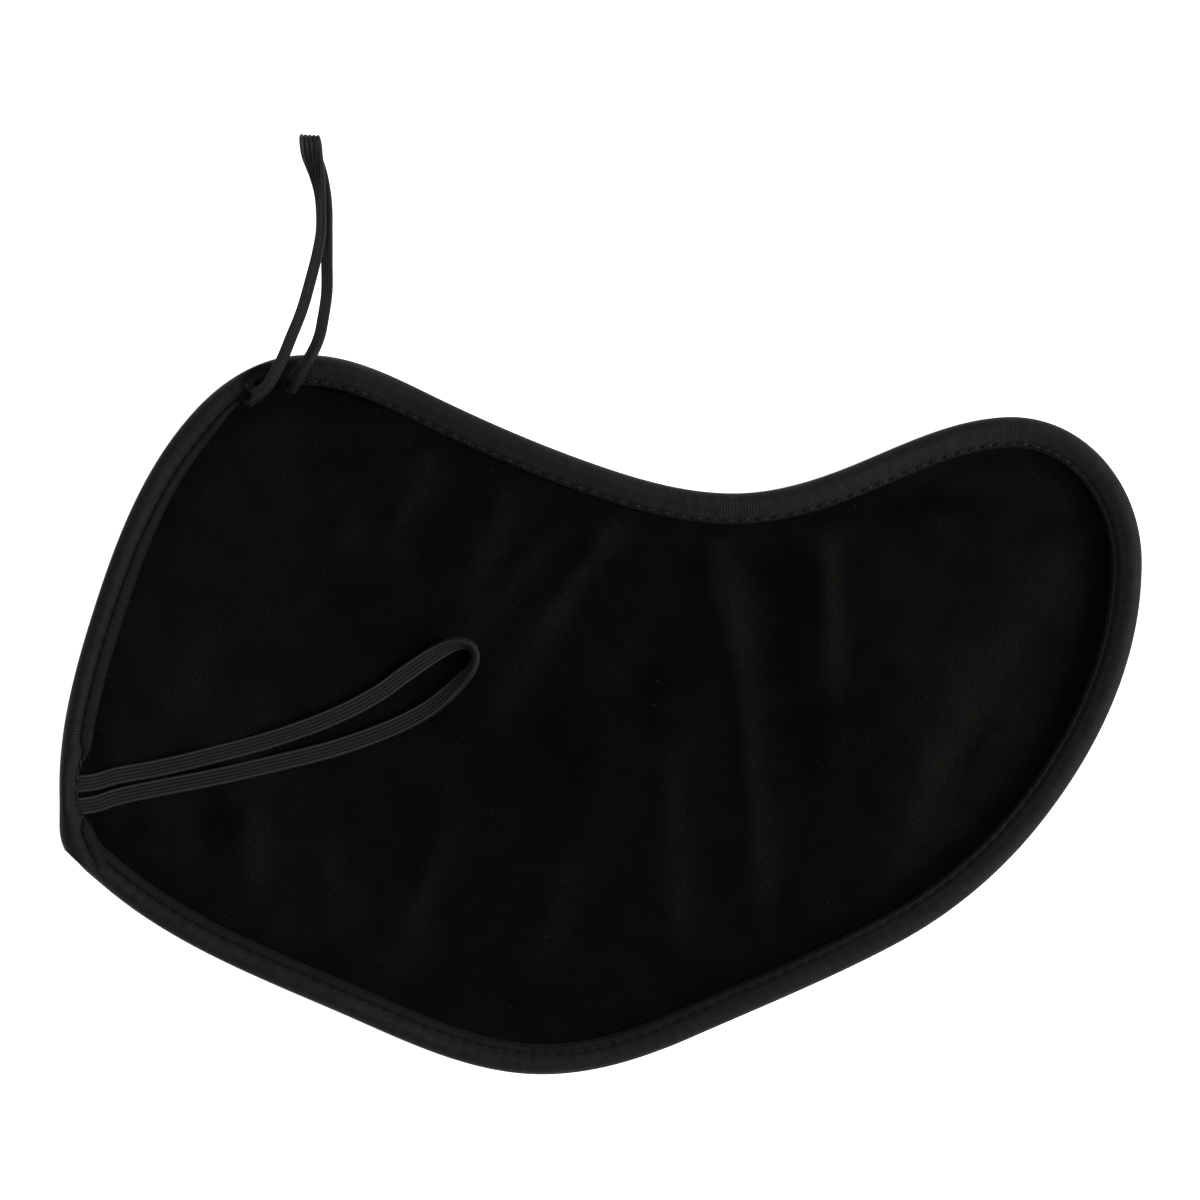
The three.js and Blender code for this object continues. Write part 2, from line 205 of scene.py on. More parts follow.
# How far the elastic is turned about its route, in degrees, by the share of its run.
UPPER_BANK = ((0, -10), (0.03, -45), (0.07, -54), (0.27, -56), (0.4, -64), (0.43, -50), (0.46, -24),
              (0.492, 0), (0.524, 24), (0.554, 50), (0.584, 64), (0.7, 56), (0.93, 54), (0.97, 42),
              (1, 10))
LOWER_BANK = ((0, 0), (0.40, 0), (0.455, 30), (0.487, 78), (0.508, 80), (0.53, 45), (0.6, 12), (0.68, 0),
              (1, 0))
BANK_SMOOTHING = 25               # sections over which those turns are evened out
UPPER_FAN = (0.492, 3.5, 0.3)     # where the upper loop's tip is spread: run share, reach, amount
UPPER_NIP = 0.4                   # the share by which the seam draws the upper loop's ends in
NIP_REACH = 2.4                   # from each end, where the elastic is narrow
NIP_LIFT_REACH = 11               # from each end, where it sits lower


# ---------------------------------------------------------------- settings a user would change

def srgb(code):
    """An sRGB hex value as linear red, green and blue: x / 12.92 up to 0.04045, and above that
    ((x + 0.055) / 1.055) to the power 2.4."""
    shade = np.array([int(code[i:i + 2], 16) for i in (1, 3, 5)]) / 255
    linear = np.where(shade <= 0.04045, shade / 12.92, ((shade + 0.055) / 1.055) ** 2.4)
    return tuple(float(value) for value in linear)


def length_property(name, description, default):
    return FloatProperty(name=name, description=description, default=default, min=0,
                         unit="LENGTH", subtype="DISTANCE", precision=5)


def colour_property(name, description, code):
    return FloatVectorProperty(name=name, description=description, default=srgb(code), size=3,
                               min=0, max=1, subtype="COLOR")


class PatchSizes(bpy.types.PropertyGroup):
    """Sizes of the sewn pieces, in metres."""
    elastic_width: length_property("Elastic width", "Width of the flat elastic", 0.0026)
    elastic_thickness: length_property("Elastic thickness", "Thickness of the flat elastic", 0.0008)
    binding_width: length_property("Binding width", "From the outer edge to the tape's edges", 0.0046)
    stitch_pitch: length_property("Stitch pitch", "From one stitch to the next", 0.0022)
    thread_thickness: length_property("Thread thickness", "Thickness of the sewing thread", 0.00034)


class PatchColours(bpy.types.PropertyGroup):
    """Colours of the cloths, tape, thread and elastic."""
    lining: colour_property("Lining", "Brushed knit, at the root of its nap", "#040403")
    lining_nap: colour_property("Lining nap", "Brushed knit, where the nap catches the light", "#100f0d")
    lint: colour_property("Lint", "Flecks of lint caught in the nap", "#1d1b18")
    face: colour_property("Face", "Plain knit face cloth", "#12110f")
    felt: colour_property("Felt", "Interlining", "#3a3935")
    tape: colour_property("Tape", "Binding tape, on its ribs", "#1c1b19")
    # the tape's darker colour: between its ribs, and the painted shade on its inner lip and in the dent
    # beside the upper loop
    tape_shade: colour_property("Tape gap", "Binding tape, between its ribs", "#080807")
    thread: colour_property("Thread", "Sewing thread", "#191816")
    elastic: colour_property("Elastic", "Braided elastic, on its ribs", "#2c2a27")
    # painted shade in the grooves between the elastic's ribs
    elastic_groove_shade: colour_property("Elastic gap", "Braided elastic, between its ribs", "#0a0a09")


class PatchStage(bpy.types.PropertyGroup):
    """Camera, floor and lights."""
    field: length_property("Field", "Width that the camera takes in", 0.180)
    distance: length_property("Distance", "From the camera to the patch", 0.5)
    key: FloatProperty(name="Key light", description="Power of the main soft light", default=9.0,
                       min=0, unit="POWER")
    fill: FloatProperty(name="Fill light", description="Strength of the light from all round",
                        default=0.55, min=0)
    floor: colour_property("Floor", "Pale floor", "#f2f2f0")


# ---------------------------------------------------------------- the panel's shape

def smoothstep(value, start, end):
    """0 before start, 1 after end, and 3t² - 2t³ between them."""
    share = np.clip((value - start) / (end - start), 0, 1)
    return share * share * (3 - 2 * share)


def unit(vectors):
    return vectors / np.linalg.norm(vectors, axis=-1, keepdims=True)


def trace_edge():
    """The outer edge as close points, and the run to each. Each stretch is a cubic whose handles
    are its chord / (3 cos²(turn / 4)) long, which makes it follow a round arc."""
    here = np.array(OUTLINE, float)
    there = np.roll(here, -1, axis=0)
    turn = (there[:, 2] - here[:, 2] + 180) % 360 - 180
    chord = np.linalg.norm((there - here)[:, :2], axis=1)
    reach = (chord / (3 * np.cos(np.radians(turn) / 4) ** 2))[:, None]
    leave, arrive = (np.stack([np.cos(a), np.sin(a)], 1)
                     for a in (np.radians(here[:, 2]), np.radians(there[:, 2])))
    start, end = here[:, :2], there[:, :2]
    poles = np.stack([start, start + reach * leave, end - reach * arrive, end])
    t = np.arange(EDGE_STEPS) / EDGE_STEPS
    weights = np.stack([(1 - t) ** 3, 3 * t * (1 - t) ** 2, 3 * t * t * (1 - t), t ** 3])
    points = np.einsum("wt,wsc->stc", weights, poles).reshape(-1, 2)
    closed = np.vstack([points, points[:1]])
    steps = np.linalg.norm(np.diff(closed, axis=0), axis=1)
    return closed, np.concatenate([[0], np.cumsum(steps)])


EDGE, EDGE_RUN = trace_edge()
EDGE_LENGTH = float(EDGE_RUN[-1])


def edge_at(run):
    """Places on the outer edge at these runs from the joint, and the level directions into the
    panel: the chord from a little before to a little after each place, turned left."""
    def place(where):
        wrapped = np.asarray(where, float) % EDGE_LENGTH
        return np.stack([np.interp(wrapped, EDGE_RUN, EDGE[:, axis]) for axis in (0, 1)], -1)
    ahead = unit(place(run + EDGE_SPACING) - place(run - EDGE_SPACING))
    return place(run), np.stack([-ahead[..., 1], ahead[..., 0]], -1)


def station_run(station):
    """The run to a station of OUTLINE, whole or part."""
    return float(np.interp(station * EDGE_STEPS, np.arange(len(EDGE_RUN)), EDGE_RUN))


def edge_distance(xy):
    """A smooth distance in from the edge: the fourth root of 4/3 over the sum, round the edge, of
    step / distance⁵. It is the true distance beside a straight edge, and has no crease where two
    edges are equally near."""
    places, _ = edge_at(np.arange(0, EDGE_LENGTH, EDGE_SPACING))
    flat = xy.reshape(-1, 2)
    squares = sum((flat[:, None, axis] - places[None, :, axis]) ** 2 for axis in (0, 1))
    total = (squares ** -2.5).sum(axis=1) * EDGE_SPACING
    return ((4 / 3 / total) ** 0.25).reshape(xy.shape[:-1])


def rise(xy, depth):
    """Height of the curled rim: its full rise times (1 - depth / width)³, and the steeper lifts,
    each its height times exp(-(distance / reach)²)."""
    lift = sum(height * np.exp(-((xy - (x, y)) ** 2).sum(axis=-1) / reach ** 2)
               for x, y, reach, height in RIM_LIFTS)
    curl = RIM_RISE * np.clip(1 - depth / RIM_WIDTH, 0, 1) ** 3
    return curl + lift * (1 - smoothstep(depth, *LIFT_FALL))


def ridge(xy, line):
    """A soft ridge along a line: its height times exp(-(distance / half width)²). It fades in over
    its first part and out over its last third, and its half width wanders by a quarter."""
    start, end, (half_width, height) = (np.array(line[i:i + 2], float) for i in (0, 2, 4))
    along = end - start
    share = ((xy - start) @ along) / (along @ along)
    fade = smoothstep(share, -0.25, 0.2) * (1 - smoothstep(share, 0.65, 1.25))
    distance = np.linalg.norm(xy - start - np.clip(share, -0.25, 1.25)[..., None] * along, axis=-1)
    half_width = half_width * (1 + 0.25 * np.sin(share * 7 + start[0]))
    return height * fade * np.exp(-(distance / half_width) ** 2)


def ripples(xy, depth):
    """The lining's ripples and hollows, which start at the binding's edge, over a slight
    unevenness that is a product of two slow waves."""
    total = sum(ridge(xy, line) for line in RIPPLES + HOLLOWS)
    x, y = xy[..., 0], xy[..., 1]
    uneven = 0.10 * np.sin(x / 3.1 + 0.11 * y) * np.sin(y / 7.3 - 0.05 * x)
    return (total + uneven) * smoothstep(depth, *RIPPLE_START)


def lining_height(xy):
    depth = edge_distance(xy)
    return rise(xy, depth) + LINING[1] + ripples(xy, depth)


# ---------------------------------------------------------------- mesh and object helpers

def new_piece(name, points, faces, material, **attributes):
    """A mesh object from points in millimetres. Each attribute has three numbers for each point."""
    mesh = bpy.data.meshes.new(name)
    mesh.from_pydata((np.asarray(points).reshape(-1, 3) * MM).tolist(), [], faces)
    for key, values in attributes.items():
        layer = mesh.attributes.new(key, "FLOAT_VECTOR", "POINT")
        layer.data.foreach_set("vector", np.asarray(values, np.float32).ravel())
    mesh.polygons.foreach_set("use_smooth", np.ones(len(mesh.polygons), bool))
    mesh.materials.append(material)
    mesh.update()
    piece = bpy.data.objects.new(name, mesh)
    bpy.context.scene.collection.objects.link(piece)
    return piece


def grid_faces(rows, columns, closed=False):
    """Quads between neighbours of a grid of points, row by row. closed joins the last column to
    the first."""
    index = np.arange(rows * columns).reshape(rows, columns)
    if closed:
        index = np.hstack([index, index[:, :1]])
    return np.stack([index[:-1, :-1], index[:-1, 1:], index[1:, 1:], index[1:, :-1]], -1).reshape(-1, 4)


def tube_faces(rows, corners):
    """The faces of a closed tube: its side, and one face for each end."""
    side = grid_faces(rows, corners, closed=True)[:, ::-1].tolist()
    first = list(range(corners))
    last = [(rows - 1) * corners + corner for corner in reversed(range(corners))]
    return side + [first, last]


def several_tubes(count, rows, corners):
    """The faces of a number of like tubes, whose points follow each other."""
    faces = tube_faces(rows, corners)
    size = rows * corners
    return [[index + size * tube for index in face] for tube in range(count) for face in faces]


def finish_edges(piece, levels, thickness):
    """Gives a sheet its thickness downwards, and smooths it."""
    wall = piece.modifiers.new("thickness", "SOLIDIFY")
    wall.thickness = thickness * MM
    wall.offset = -1
    wall.use_even_offset = False
    if levels:
        smooth = piece.modifiers.new("smooth", "SUBSURF")
        smooth.levels = levels
        smooth.render_levels = levels


# ---------------------------------------------------------------- materials

BAND_SCALE = math.pi / 10         # of a wave texture whose bands lie one unit apart
WAVE_DETAIL = {"Detail": 1, "Detail Scale": 2}

# Sizes of the patterns, in metres.
NAP_TUFT, NAP_LAY, LINT_FLECK = 0.35 * MM, 5.5 * MM, 0.4 * MM
KNIT_ROW, KNIT_MOTTLE = 0.7 * MM, 4 * MM
FELT_FIBRE = 0.6 * MM
TAPE_RIB, TAPE_FUZZ = 0.42 * MM, 1.8 * MM
ELASTIC_YARN = 0.45 * MM
THREAD_TWIST = 0.4 * MM
CARD_GRAIN = 2 * MM


def add_node(tree, kind, inputs=None, output=0, **settings):
    """Adds a shader node with its settings, and gives one of its outputs. inputs maps a socket's name
    or number to a value, a colour or another node's output. A map range has its value at 0, the two
    ends that it is read between at 1 and 2, and those that it is written between at 3 and 4."""
    node = tree.nodes.new("ShaderNode" + kind)
    for key, value in settings.items():
        setattr(node, key, value)
    for key, value in (inputs or {}).items():
        socket = node.inputs[key]
        if isinstance(value, bpy.types.NodeSocket):
            tree.links.new(value, socket)
        else:
            socket.default_value = (*value[:3], 1) if socket.type == "RGBA" else value
    return node.outputs[output] if node.outputs else None


def material_of(finish, colours):
    """The material named for a finish, made the first time it is asked for. The finish gets the
    function that adds nodes to the material's empty tree."""
    name = finish.__name__
    material = bpy.data.materials.get(name)
    if not material:
        material = bpy.data.materials.new(name)
        material.use_nodes = True
        material.node_tree.nodes.clear()
        finish(partial(add_node, material.node_tree), colours)
    return material


def add_surface(add, colour, bump, **values):
    """Ends a tree in a shader with this colour and normal. Its other inputs are named with _ for
    spaces."""
    inputs = {key.replace("_", " "): value for key, value in values.items()}
    shader = add("BsdfPrincipled", {"Base Color": colour, "Normal": bump, **inputs})
    add("OutputMaterial", {"Surface": shader})


def darker(colour, share):
    return tuple(share * value for value in colour)


def brushed_polyester_knit(add, colours):
    """Brushed polyester knit. The raised nap takes nearly all light, so the cloth is matt and almost
    black, mottled where the nap lies different ways, with flecks of lint. It has a painted highlight
    along the ripples' crests and painted shade in the hollows and near the binding, and it is paler
    towards both ends of the panel. The nap's tufts are drawn 0.35 mm wide, coarser than real, so that
    they show."""
    place = add("TexCoord", output="Object")
    # painted light and shade on the nap, written by cloth()
    rubbed = add("Attribute", output="Fac", attribute_name="rubbed")
    nap = add("TexNoise", {"Vector": place, "Scale": 1 / NAP_TUFT})
    lay = add("TexNoise", {"Vector": place, "Scale": 1 / NAP_LAY, "Detail": 4})
    lint = add("TexNoise", {"Vector": place, "Scale": 1 / LINT_FLECK, "Detail": 0})
    fleck = add("MapRange", {0: lint, 1: 0.83, 2: 0.9})
    lay = add("MapRange", {0: lay, 1: 0.35, 2: 0.65, 3: 0.08, 4: 0.34})
    shade = add("Math", {0: lay, 1: rubbed})
    tuft = add("MapRange", {0: nap, 1: 0.3, 2: 0.7, 3: 0.4, 4: 1.3})
    share = add("Math", {0: shade, 1: tuft}, operation="MULTIPLY", use_clamp=True)
    colour = add("Mix", {0: share, 6: colours.lining, 7: colours.lining_nap}, 2, data_type="RGBA")
    colour = add("Mix", {0: fleck, 6: colour, 7: colours.lint}, 2, data_type="RGBA")
    bump = add("Bump", {"Height": nap, "Distance": 0.12 * MM, "Strength": 0.7})
    add_surface(add, colour, bump, Roughness=1, Specular_IOR_Level=0.004, Sheen_Weight=0.012,
                Sheen_Roughness=0.55)


def smooth_polyester_knit(add, colours):
    """Smooth polyester knit. Rows of loops, drawn 0.7 mm apart, give the back a faint even rib."""
    place = add("TexCoord", output="Object")
    rows = add("TexWave", {"Vector": place, "Scale": BAND_SCALE / KNIT_ROW, "Distortion": 0.6,
                           **WAVE_DETAIL}, 1, bands_direction="Y")
    mottle = add("TexNoise", {"Vector": place, "Scale": 1 / KNIT_MOTTLE, "Detail": 3})
    both = add("Math", {0: rows, 1: mottle}, operation="MULTIPLY")
    share = add("MapRange", {0: both, 1: 0.1, 2: 0.6})
    colour = add("Mix", {0: share, 6: darker(colours.face, 0.55), 7: colours.face}, 2, data_type="RGBA")
    bump = add("Bump", {"Height": rows, "Distance": 0.08 * MM, "Strength": 0.8})
    add_surface(add, colour, bump, Roughness=0.85, Specular_IOR_Level=0.12, Sheen_Weight=0.03)


def needled_felt(add, colours):
    """Needled polyester felt. Tangled fibres give it a fine, matt, uneven grey."""
    place = add("TexCoord", output="Object")
    fibre = add("TexNoise", {"Vector": place, "Scale": 1 / FELT_FIBRE, "Detail": 5})
    share = add("MapRange", {0: fibre, 1: 0.3, 2: 0.7})
    colour = add("Mix", {0: share, 6: darker(colours.felt, 0.6), 7: colours.felt}, 2, data_type="RGBA")
    bump = add("Bump", {"Height": fibre, "Distance": 0.2 * MM, "Strength": 1})
    add_surface(add, colour, bump, Roughness=1, Specular_IOR_Level=0.1)


def woven_polyester_tape(add, colours):
    """Woven polyester binding tape. Its weft ribs run across it and catch the light in fine ticks
    over a soft satin. They are drawn 0.42 mm apart, a little coarser than real, so that they show. The
    tape's inner lip and the dent beside the upper loop are painted darker, as painted shade."""
    weave = add("Attribute", output="Vector", attribute_name="weave")
    # painted shade on the tape's inner lip and in the dent, written by binding_points()
    painted_lip_light = add("Attribute", output="Fac", attribute_name="worn")
    ribs = add("TexWave", {"Vector": weave, "Scale": BAND_SCALE / TAPE_RIB, "Distortion": 0.8,
                           **WAVE_DETAIL}, 1)
    fuzz = add("TexNoise", {"Vector": weave, "Scale": 1 / TAPE_FUZZ, "Detail": 4})
    crests = add("MapRange", {0: ribs, 3: 0.3, 4: 1})
    fuzz = add("MapRange", {0: fuzz, 1: 0.3, 2: 0.7, 3: 0.55, 4: 1.15})
    lit = add("Math", {0: crests, 1: fuzz}, operation="MULTIPLY")
    share = add("Math", {0: lit, 1: painted_lip_light}, operation="MULTIPLY", use_clamp=True)
    colour = add("Mix", {0: share, 6: colours.tape_shade, 7: colours.tape}, 2, data_type="RGBA")
    bump = add("Bump", {"Height": ribs, "Distance": 0.04 * MM, "Strength": 0.8})
    add_surface(add, colour, bump, Roughness=0.65, Specular_IOR_Level=0.06, Sheen_Weight=0.02)


def braided_polyester_elastic(add, colours):
    """Braided elastic: polyester over rubber cores. Its lengthwise ribs get a painted highlight and the
    gaps between them painted shade, nearly black. The yarns that cross each rib are drawn 0.45 mm apart."""
    weave = add("Attribute", output="Vector", attribute_name="weave")
    # the painted highlight on the ribs, from the elastic's section
    crest_light = add("SeparateXYZ", {0: weave}, 2)
    yarn = add("TexWave", {"Vector": weave, "Scale": BAND_SCALE / ELASTIC_YARN, "Distortion": 1.2,
                           **WAVE_DETAIL}, 1)
    shine = add("MapRange", {0: yarn, 3: 0.8, 4: 1.1})
    lit = add("Math", {0: crest_light, 1: shine}, operation="MULTIPLY", use_clamp=True)
    colour = add("Mix", {0: lit, 6: colours.elastic_groove_shade, 7: colours.elastic}, 2, data_type="RGBA")
    bump = add("Bump", {"Height": yarn, "Distance": 0.02 * MM, "Strength": 0.8})
    add_surface(add, colour, bump, Roughness=0.5, Specular_IOR_Level=0.08, Sheen_Weight=0.02)


def spun_polyester_thread(add, colours):
    """Three-ply spun polyester sewing thread. The plies' twist gives slanting glints 0.4 mm apart."""
    weave = add("Attribute", output="Vector", attribute_name="weave")
    twist = add("TexWave", {"Vector": weave, "Scale": BAND_SCALE / THREAD_TWIST}, 1,
                bands_direction="DIAGONAL")
    colour = add("Mix", {0: twist, 6: darker(colours.thread, 0.5), 7: colours.thread}, 2,
                 data_type="RGBA")
    bump = add("Bump", {"Height": twist, "Distance": 0.04 * MM, "Strength": 1})
    add_surface(add, colour, bump, Roughness=0.5, Specular_IOR_Level=0.1)


def pale_card(add, stage):
    """Pale card floor, rolled smooth. It glows slightly, so it stays plain where light falls short."""
    place = add("TexCoord", output="Object")
    grain = add("TexNoise", {"Vector": place, "Scale": 1 / CARD_GRAIN})
    colour = add("Mix", {0: grain, 6: darker(stage.floor, 0.98), 7: stage.floor}, 2, data_type="RGBA")
    bump = add("Bump", {"Height": grain, "Distance": 0.01 * MM, "Strength": 0.2})
    add_surface(add, colour, bump, Roughness=0.9, Specular_IOR_Level=0.1, Emission_Color=(1, 1, 1),
                Emission_Strength=0.8)


# ---------------------------------------------------------------- elastic loops

def route_points(route):
    """A centripetal Catmull-Rom curve through a route, at even spacing. Between two points it is
    the cubic with their own tangents, and knots are set by the square roots of the gaps."""
    points = np.array(route, float)
    points = np.vstack([2 * points[0] - points[1], points, 2 * points[-1] - points[-2]])
    gaps = np.sqrt(np.linalg.norm(np.diff(points, axis=0), axis=1))[:, None]
    before, here, after, beyond = (points[i:len(points) - 3 + i] for i in range(4))
    d0, d1, d2 = gaps[:-2], gaps[1:-1], gaps[2:]
    leave = ((here - before) / d0 - (after - before) / (d0 + d1) + (after - here) / d1) * d1
    arrive = ((after - here) / d1 - (beyond - here) / (d1 + d2) + (beyond - after) / d2) * d1
    t = np.linspace(0, 1, CURVE_STEPS, endpoint=False)[:, None, None]
    curve = (here * (2 * t ** 3 - 3 * t ** 2 + 1) + leave * (t ** 3 - 2 * t ** 2 + t)
             + after * (3 * t ** 2 - 2 * t ** 3) + arrive * (t ** 3 - t ** 2))
    dense = np.vstack([curve.transpose(1, 0, 2).reshape(-1, 3), points[-2]])
    run = np.concatenate([[0], np.cumsum(np.linalg.norm(np.diff(dense, axis=0), axis=1))])
    even = np.linspace(0, run[-1], round(run[-1] / ROUTE_SPACING) + 1)
    return np.stack([np.interp(even, run, dense[:, axis]) for axis in range(3)], 1), even


def level_sides(along):
    """A level direction square to each tangent. It keeps to one side of the strip through an
    upright fold, and where the strip is upright it is drawn from its neighbours."""
    left = np.stack([-along[:, 1], along[:, 0], np.zeros(len(along))], 1)
    sure = np.flatnonzero(np.linalg.norm(left, axis=1) > LEVEL_ENOUGH)
    known = unit(left[sure])
    turns = np.sign((known[1:] * known[:-1]).sum(axis=1))
    known = known * np.concatenate([[1], np.cumprod(turns)])[:, None]
    every = np.arange(len(along))
    side = np.stack([np.interp(every, sure, known[:, axis]) for axis in range(3)], 1)
    return unit(side - (side * along).sum(axis=1, keepdims=True) * along)


def elastic_section(width, thickness):
    """The flat elastic's section, anticlockwise from its right edge: each of its ribs is a rounded
    swell, sin(pi x share) to the power 0.7, and the two edge ribs are fuller. The third number is the
    painted light on the ribs: a painted highlight on their tops, strongest on the two edge ribs, and
    painted shade in the gaps between them."""
    across = np.linspace(1, -1, ELASTIC_RIBS * RIB_POINTS + 1)
    share = ((across + 1) / 2 * ELASTIC_RIBS) % 1
    swell = np.abs(np.sin(math.pi * share)) ** 0.7
    outer = smoothstep(np.abs(across), 0.55, 0.75)
    half = thickness / 2 * (0.5 + (0.42 + 0.08 * outer) * swell)
    half[[0, -1]] = 0.0
    # painted highlight on the ribs' tops, strongest on the two edge ribs; the gaps get painted shade
    crest_light = swell ** 2.2 * (0.5 + 0.5 * outer)
    top = np.stack([across * width / 2, half, crest_light], 1)
    bottom = np.stack([across[::-1] * width / 2, -half[::-1], crest_light[::-1]], 1)[1:-1]
    return np.vstack([top, bottom])


def strip(name, route, bank, sizes, material, raise_to=None, fan=None, nip=0.0):
    """Flat elastic along a route: the section, turned about the route by the bank in degrees, which
    is read off (run share, degrees) pairs. The route is lifted by the half width's own rise, so
    that the strip's lower edge stays where the flat strip's underside is, and is kept above the height
    that raise_to gives. fan is (run share, reach, amount): the ribs spread there, and the strip is
    wider by amount times exp(-(run / reach)²). nip is the share by which the seam draws both ends in,
    where the strip also sits lower."""
    width, thickness = sizes.elastic_width / MM, sizes.elastic_thickness / MM
    middle, run = route_points(route)
    shares, degrees = np.array(bank, float).T
    angle = np.radians(np.interp(run / run[-1], shares, degrees))
    kernel = np.hanning(BANK_SMOOTHING) / np.hanning(BANK_SMOOTHING).sum()
    angle = np.convolve(np.pad(angle, BANK_SMOOTHING // 2, mode="edge"), kernel, mode="valid")
    if raise_to:
        middle[:, 2] = np.maximum(middle[:, 2], raise_to(middle[:, :2]) + thickness * CLEARANCE)
    from_end = np.minimum(run, run[-1] - run)
    lift = width / 2 * np.abs(np.sin(angle)) + thickness / 2 * (np.cos(angle) - 1)
    middle[:, 2] += lift * (1 - 2 * nip * np.exp(-(from_end / NIP_LIFT_REACH) ** 2))
    along = unit(np.gradient(middle, axis=0))
    side = level_sides(along)
    up = np.cross(along, side)
    cos, sin = np.cos(angle)[:, None], np.sin(angle)[:, None]
    side, up = side * cos + up * sin, up * cos - side * sin
    section = elastic_section(width, thickness)
    spread = 1 - nip * np.exp(-(from_end / NIP_REACH) ** 2)
    if fan:
        spread += fan[2] * np.exp(-((run - fan[0] * run[-1]) / fan[1]) ** 2)
    spread = spread[:, None, None]
    points = (middle[:, None] + side[:, None] * section[None, :, :1] * spread
              + up[:, None] * section[None, :, 1:2])
    weave = np.empty(points.shape)
    weave[..., 0] = run[:, None] * MM
    weave[..., 1] = section[:, 0] * MM
    weave[..., 2] = section[:, 2]
    piece = new_piece(name, points, tube_faces(len(middle), len(section)), material, weave=weave)
    return piece, middle * MM


class PATCH_OT_loops(bpy.types.Operator):
    """Makes the two elastic loops at their real length, and the upper loop's caught ends"""
    bl_idname = "patch.loops"
    bl_label = "Elastic loops"

    def execute(self, context):
        scene = context.scene
        sizes = scene.patch_sizes
        material = material_of(braided_polyester_elastic, scene.patch_colours)

        route = (*UPPER_LEFT_END, *UPPER_ROUTE[1:-1], *UPPER_RIGHT_END)
        upper, path = strip("upper_loop_elastic", route, UPPER_BANK, sizes, material,
                            fan=UPPER_FAN, nip=UPPER_NIP)
        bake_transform(upper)
        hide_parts("upper_loop")

        route = (*LOWER_UPPER_END, *LOWER_ROUTE, *LOWER_LOWER_END)
        lower, path = strip("lower_loop_elastic", route, LOWER_BANK, sizes, material, lining_height)
        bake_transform(lower)
        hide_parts("lower_loop", "lower_loop_upper_end", "lower_loop_lower_end")

        for name, end in (("left", UPPER_LEFT_END[0]), ("right", UPPER_RIGHT_END[-1])):
            node = f"upper_loop_{name}_end"
            stub, _ = strip(f"{node}_elastic", caught_route(end), ((0, 0), (1, 0)), sizes, material)
            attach(stub, "panel")
            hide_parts(node)
        return {"FINISHED"}


def caught_route(end):
    """A caught end of the upper loop: straight out towards the outer edge, between the lining and
    the tape's upper leaf."""
    places, inward = edge_at(np.arange(0, EDGE_LENGTH, EDGE_SPACING))
    gaps = np.linalg.norm(places - end[:2], axis=1)
    nearest = np.argmin(gaps)
    depths = np.linspace(gaps[nearest] - CAUGHT_ENDS[0], CAUGHT_ENDS[1], 4)
    spots = places[nearest] + depths[:, None] * inward[nearest]
    heights = rise(spots, depths) + LINING[1] + CAUGHT_LIFT - pinch_depth(spots)
    return np.column_stack([spots, heights])


# ---------------------------------------------------------------- panel cloths

def cloth_grid(inset):
    """A grid of places over the panel, from four stretches of its edge, each moved in by inset. A
    place is the mean drawn between the lower and upper stretches, plus that between the left and
    right ones, less that between the four corners."""
    lower_left, lower_right, upper_right, upper_left = (station_run(s) for s in GRID_CORNERS)
    u, v = (np.linspace(0, 1, cells + 1) for cells in GRID_CELLS)

    def stretch(start, end, shares):
        places, inward = edge_at(start + (end - start) * shares)
        return places + inset * inward
    bottom = stretch(lower_left - EDGE_LENGTH, lower_right, u)
    top = stretch(upper_left, upper_right, u)
    left = stretch(lower_left, upper_left, v)
    right = stretch(lower_right, upper_right, v)
    u, v = u[None, :, None], v[:, None, None]
    corners = ((1 - u) * (1 - v) * bottom[0] + u * (1 - v) * bottom[-1]
               + (1 - u) * v * top[0] + u * v * top[-1])
    return (1 - v) * bottom + v * top + (1 - u) * left[:, None] + u * right[:, None] - corners


def cloth(name, inset, top, share, material):
    """A cloth over the panel's grid. Its upper side is top above the curl of the rim, plus this share
    of the lining's ripples. The nap gets a painted highlight on their crests and painted shade in the
    hollows and near the binding, and is paler towards both ends of the panel."""
    xy = cloth_grid(inset)
    depth = edge_distance(xy)
    z = rise(xy, depth) + top + share * ripples(xy, depth)
    # painted light and shade on the nap: paler on the ripples' crests, darker in the hollows and near
    # the binding, and paler towards both ends
    rubbed = (0.42 * ripples(xy, depth) + sum(ridge(xy, line) for line in HOLLOWS)
              + 0.34 * smoothstep(np.abs(xy[..., 0] - 6), 24, 66)) * smoothstep(depth, *NAP_LIGHT_START)
    piece = new_piece(name, np.dstack([xy, z]), grid_faces(*z.shape).tolist(), material,
                      rubbed=np.repeat(rubbed[..., None], 3, axis=-1))
    return piece, depth


